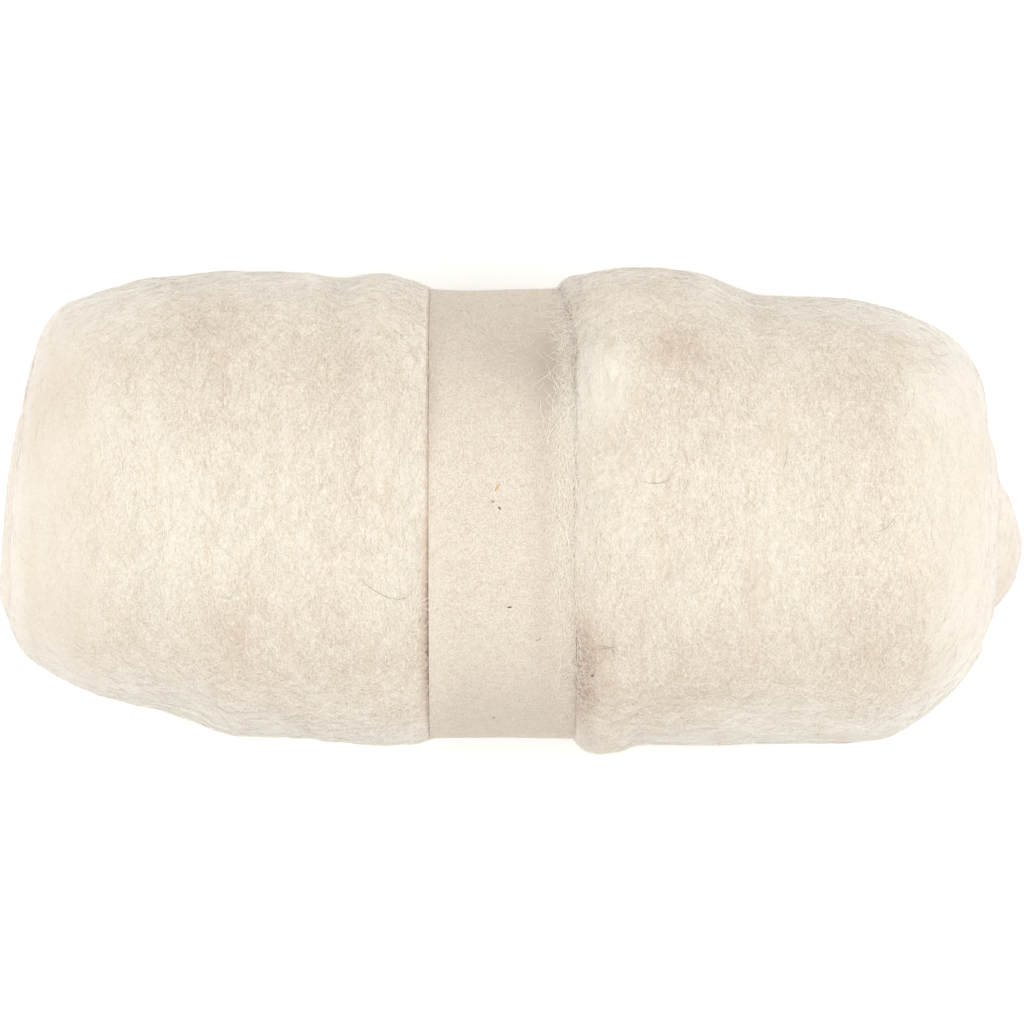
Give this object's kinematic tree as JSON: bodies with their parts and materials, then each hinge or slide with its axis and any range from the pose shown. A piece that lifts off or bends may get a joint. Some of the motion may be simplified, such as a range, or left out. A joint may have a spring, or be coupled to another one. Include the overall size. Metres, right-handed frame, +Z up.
{
  "type": "rolled carded wool batt with a paper band",
  "caption": "Soft roll of carded wool batt, wound along its length and held round the middle by a plain paper band.",
  "frame": {"origin": "on the surface the roll lies on, under the middle of its bounding box", "axes": "+X along the roll, +Y towards its back, +Z up"},
  "size_m": [0.2494, 0.1188, 0.106],
  "materials": {
    "wool": "soft matte carded fibre",
    "paper": "matte flecked recycled paper"
  },
  "bodies": {
    "root": {"wool_roll": "wool", "band": "paper"}
  },
  "joints": []
}
